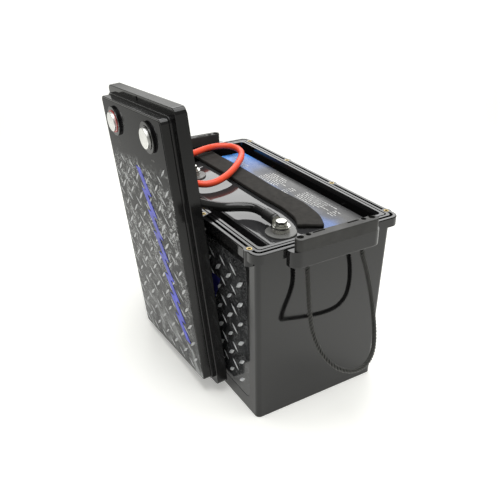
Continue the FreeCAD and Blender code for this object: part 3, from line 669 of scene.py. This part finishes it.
def smooth_through(key, points, at):
    """Natural cubic through points given at `key`, read at `at`, one column at a time."""
    n = len(key)
    h = np.diff(key)
    a = np.zeros((n, n))
    rhs = np.zeros((n, points.shape[1]))
    a[0, 0] = a[-1, -1] = 1.0
    inner = np.arange(1, n - 1)
    a[inner, inner - 1] = h[:-1]
    a[inner, inner] = 2 * (h[:-1] + h[1:])
    a[inner, inner + 1] = h[1:]
    slope = np.diff(points, axis=0) / h[:, None]
    rhs[1:-1] = 6 * np.diff(slope, axis=0)
    curve = np.linalg.solve(a, rhs)
    k = np.clip(np.searchsorted(key, at) - 1, 0, n - 2)
    left, right = (at - key[k])[:, None], (key[k + 1] - at)[:, None]
    w = h[k][:, None]
    return (
        curve[k] * right ** 3 / (6 * w) + curve[k + 1] * left ** 3 / (6 * w)
        + (points[k] / w - curve[k] * w / 6) * right + (points[k + 1] / w - curve[k + 1] * w / 6) * left
    )


def packing(name, node):
    """Block of foam with crowned faces and round edges, pressed into its space.

    A cube grid point p becomes p / |p|_k, the k-norm with k = 14, scaled to the block's half sizes."""
    lo, hi = [np.array(c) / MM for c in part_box(node)]
    mid, half = (lo + hi) / 2, (hi - lo) / 2 - 0.15
    count = 13
    s = np.linspace(-1, 1, count)
    verts, faces = [], []
    for axis in range(3):
        for sign in (-1, 1):
            a, b = np.meshgrid(s, s, indexing="ij")
            grid = np.zeros((count, count, 3))
            grid[..., axis] = sign
            grid[..., (axis + 1) % 3] = a
            grid[..., (axis + 2) % 3] = b
            start = sum(len(v) for v in verts)
            i, j = np.meshgrid(np.arange(count - 1), np.arange(count - 1), indexing="ij")
            n = (i * count + j).reshape(-1)
            quad = np.stack([n, n + count, n + count + 1, n + 1], axis=1) + start
            faces += (quad if sign > 0 else quad[:, ::-1]).tolist()
            verts.append(grid.reshape(-1, 3))
    p = np.sin(np.concatenate(verts) * np.pi / 2)
    p /= (np.abs(p) ** 14).sum(axis=1)[:, None] ** (1 / 14)
    obj = piece(name, mid + p * half, faces, MATS["foam"], "case", merge=0.02)
    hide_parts(node)


# ---- tread plate ------------------------------------------------------------------
def lozenge(long, wide, high):
    """Pointed crowned mark: width and height run out to nothing at both tips as (1 - s squared) to the 1.25.

    A closed loop of six points (four over the crown, two under it) carried along nine stations."""
    s = np.linspace(-1, 1, 9)
    swell = (1 - s ** 2) ** 1.25
    swell[0] = swell[-1] = 0.0
    t = np.array([-1.0, -0.45, 0.0, 0.45, 1.0, 0.0])
    lift = np.array([0.0, 0.85, 1.0, 0.85, 0.0, -0.25])
    x = np.broadcast_to((s * long / 2)[:, None], (9, 6))
    y = swell[:, None] * t[None, :] * wide / 2
    z = swell[:, None] * lift[None, :] * high
    return np.stack([x, y, z], axis=-1).reshape(-1, 3), loft_faces(9, 6)


def tread_field(name, half_x, y0, y1, pitch, marks, keep, place, body, ink):
    """Two crossed lattices of lozenges; each mark kind is (angle, length, width, first place)."""
    verts, faces = [], []
    for angle, long, wide, first in marks:
        shape, quads = lozenge(long, wide, 0.35)
        turn = math.radians(angle)
        c, s = math.cos(turn), math.sin(turn)
        along, across, high = shape.T
        shape = np.stack([along * c - across * s, along * s + across * c, high], axis=1)
        for ix in range(-20, 21):
            for iy in range(-20, 21):
                x, y = first[0] + ix * pitch[0], first[1] + iy * pitch[1]
                if abs(x) < half_x - 6.5 and y0 + 6.0 < y < y1 - 6.0 and keep(x, y):
                    faces += [tuple(v + len(verts) * len(shape) for v in q) for q in quads]
                    grow = RNG.uniform(0.85, 1.08)
                    verts.append(shape * (grow, grow, 1) + (x + RNG.uniform(-0.5, 0.5), y, 0))
    return piece(name, place(np.concatenate(verts)), faces, MATS[ink], body, merge=0.003)


def slanted_bars(name, centres, long, wide, lean, place, body, material):
    """Row of slanted bars with cut ends, like a charge gauge: each a thin prism 0.12 high."""
    verts, faces = [], []
    for n, (x, y) in enumerate(centres):
        half_l, half_w, skew = long / 2, wide / 2, lean * wide / 2
        outline = [
            (-half_l - skew, -half_w), (half_l - skew, -half_w),
            (half_l + skew, half_w), (-half_l + skew, half_w),
        ]
        low = [(x + a, y + b, -0.1) for a, b in outline]
        high = [(x + a, y + b, 0.14) for a, b in outline]
        verts += low + high
        faces += loft_faces(2, 4, start=n * 8)
    return piece(name, place(np.array(verts)), faces, material, body, smooth=False)


def plain_end(u, v):
    """True where a mark is clear of the plain end of the lid."""
    return v < 240 + 0.1 * u


def lid_marks():
    """Tread marks, charge bars and pole signs on the lid's face."""
    face = LID_T + LID_LABEL_T

    def place(p, above=0.0):
        return on_lid(p + (0, 0, face + above))

    kinds = ((41.0, 18.0, 3.2, (66.0, 28.0)), (144.0, 16.5, 2.8, (53.5, 39.2)))
    tread_field("lid_tread_marks", LID_HALF_U, LID_V0, LID_MARKS_V1, (25.1, 21.7), kinds, plain_end, place,
                "lid", "silver_shaded_copy")
    count = 8
    centres = [(8 + 38 * n / (count - 1), 222 - 162 * n / (count - 1)) for n in range(count)]
    slanted_bars("lid_charge_bars", centres, 11, 27, -0.70, lambda p: place(p, 0.30), "lid",
                 MATS["blue"])
    signs = [(-POST_U, 252.5, 9, 1.6), (-POST_U, 252.5, 1.6, 9), (POST_U, 252.5, 9, 1.6)]
    verts, faces = [], []
    for n, (u, v, a, b) in enumerate(signs):
        loop = round_rect(a / 2, b / 2, 0.6, 3)
        for w in (-0.1, 0.1):
            verts += [(u + x, v + y, w) for x, y in loop]
        faces += loft_faces(2, len(loop), start=n * 2 * len(loop))
    piece("pole_signs", place(np.array(verts)), faces, MATS["matte"], "lid", smooth=False,
          merge=0.001)


def clear_corner(x, z):
    """True where a mark is clear of the plain lower corner of the case's sheet."""
    return not (x > 112 and z < 30)


def wall_y(z):
    """Distance of the long wall's label face from the middle at height z: the wall leans out with height."""
    return 76.45 + 3.95 * z / 189.3 - 0.3


def case_marks(side, name):
    """Tread marks and charge bars on one long wall, x mirrored on the back so both read the same way."""
    def place(p):
        x, z, out = p[:, 0], p[:, 1], p[:, 2]
        return np.stack([-side * x, side * (wall_y(z) + out), z], axis=1)
    kinds = ((41.0, 17.0, 4.4, (90.0, 124.5)), (144.0, 15.0, 3.1, (77.5, 136.3)))
    tread_field("case_tread_marks_" + name, CASE_LABEL_X, CASE_LABEL_Z0, CASE_LABEL_Z1, (21.6, 23.6), kinds,
                clear_corner, place, "case", "silver")
    bars = [(-84 + 28 * n, 118) for n in range(6)]
    slanted_bars("case_charge_bars_" + name, bars, 17, 34, 0.45, lambda p: place(p + (0, 0, 0.15)), "case",
                 MATS["dark_blue"])


# ---- print on the pack ----------------------------------------------------------------
def pack_lines():
    """Rows of small dashes that stand for small print on the pack's label."""
    blocks = [(-96, 33, 26, 4), (-38, 32, 44, 8), (14, 34, 14, 5), (34, 38, 54, 6), (92, 40, 10, 4)]
    verts, faces = [], []
    for x0, y0, wide, rows in blocks:
        for row in range(rows):
            x = x0 + RNG.uniform(0, 2)
            end = x0 + wide * RNG.uniform(0.7, 1.0)
            while x < end:
                long = RNG.uniform(1.5, 6.0)
                y = y0 + row * 3.3
                start = len(verts)
                for z in (-0.05, 0.05):
                    low, high = y - 0.38, y + 0.38
                    verts += [(x, low, z), (x + long, low, z), (x + long, high, z), (x, high, z)]
                faces += loft_faces(2, 4, start=start)
                x += long + 1.5
    piece("label_small_print", np.array(verts) + (0, 0, PACK_TOP), faces, MATS["white_ink"], "case",
          smooth=False)


def wavy_sheet():
    """Glossy top sheet, drawn over the cells: a thin plate whose height swells by long shallow waves."""
    lo, hi = [np.array(c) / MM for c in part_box("top_sheet")]
    nx, ny = 121, 41
    x, y = np.meshgrid(np.linspace(lo[0], hi[0], nx), np.linspace(lo[1], hi[1], ny), indexing="ij")
    rise = 0.10 * np.sin(x / 21 + y / 17) + 0.07 * np.sin(x / 11 - y / 23 + 1.0) + 0.05 * np.sin(x / 47 + 2)
    edge = np.minimum.reduce([x - lo[0], hi[0] - x, y - lo[1], hi[1] - y])
    rise = (rise - 0.25) * np.clip(edge / 6, 0, 1) - 0.25 * (1 - np.clip(edge / 2.5, 0, 1)) ** 2
    top = np.stack([x, y, hi[2] + rise], axis=-1).reshape(-1, 3)
    under = np.stack([x, y, np.full_like(x, lo[2])], axis=-1).reshape(-1, 3)
    i, j = np.meshgrid(np.arange(nx - 1), np.arange(ny - 1), indexing="ij")
    n = (i * ny + j).reshape(-1)
    upper = np.stack([n, n + ny, n + ny + 1, n + 1], axis=1)
    lower = upper[:, ::-1] + nx * ny
    rim = np.concatenate([np.arange(nx) * ny, (nx - 1) * ny + np.arange(1, ny),
                          np.arange(nx - 2, -1, -1) * ny + ny - 1, np.arange(ny - 2, 0, -1)])
    after = np.roll(rim, -1)
    wall = np.stack([rim + nx * ny, after + nx * ny, after, rim], axis=1)
    obj = piece("top_film", np.concatenate([top, under]), np.concatenate([upper, lower, wall]), MATS["film"],
                "case", merge=0.001)
    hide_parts("top_sheet")


# ---- light and floor ---------------------------------------------------------------------
def soft_box(name, place, size, glow, aim):
    """Rectangular area light of a given radiance, turned to face a point."""
    data = bpy.data.lights.new(name, "AREA")
    data.shape = "RECTANGLE"
    data.size, data.size_y = size
    data.energy = glow * math.pi * size[0] * size[1]
    lamp = bpy.data.objects.new(name, data)
    bpy.context.scene.collection.objects.link(lamp)
    lamp.location = place
    lamp.rotation_euler = (Vector(place) - Vector(aim)).to_track_quat("Z", "Y").to_euler()


def studio():
    """White floor; a close box overhead, a large one low at the back left, one over the far floor."""
    world = bpy.data.worlds.new("surround")
    bpy.context.scene.world = world
    world.use_nodes = True
    back = world.node_tree.nodes["Background"]
    back.inputs["Color"].default_value = (1.0, 1.0, 0.94, 1.0)
    back.inputs["Strength"].default_value = 0.36
    soft_box("overhead", (0.12, 0.0, 0.85), (0.75, 0.75), 4.4, (0.12, 0, 0))
    soft_box("back_left", (-1.9, 1.0, 1.15), (2.0, 1.1), 0.65, (0, 0, 0.15))
    soft_box("far_floor", (-3.4, 2.1, 1.9), (3.5, 3.5), 1.9, (-3.4, 2.1, 0))
    f = Finish("pale_floor", (0.93, 0.93, 0.90), 0.6, Emission_Color=(1, 1, 0.98, 1), Emission_Strength=0.32)
    f.rough(f.spread(f.noise(8.0, 2.0), 0.3, 0.7, 0.55, 0.7))
    mesh = bpy.data.meshes.new("floor")
    mesh.from_pydata([(-6, -6, 0), (6, -6, 0), (6, 6, 0), (-6, 6, 0)], [], [(0, 1, 2, 3)])
    mesh.materials.append(f.mat)
    floor = bpy.data.objects.new("floor", mesh)
    bpy.context.scene.collection.objects.link(floor)
    floor.location.z = -0.0003
    view = bpy.context.scene.view_settings
    view.view_transform = "Standard"
    view.look = "None"


camera()
studio()
dress_nodes()
cable("red_lead", "red_cable", RED_ROUTE, RED_R, MATS["red"])
cable("black_lead", "black_cable", BLACK_ROUTE, BLACK_R, MATS["black"])
lug_shrink()
rope()
foam_ribbon()
for pad in ("right", "left", "front"):
    packing("packing_" + pad, "foam_pad_" + pad)
packing("packing_bed", "foam_bed")
lid_marks()
case_marks(-1, "front")
case_marks(1, "back")
pack_lines()
wavy_sheet()
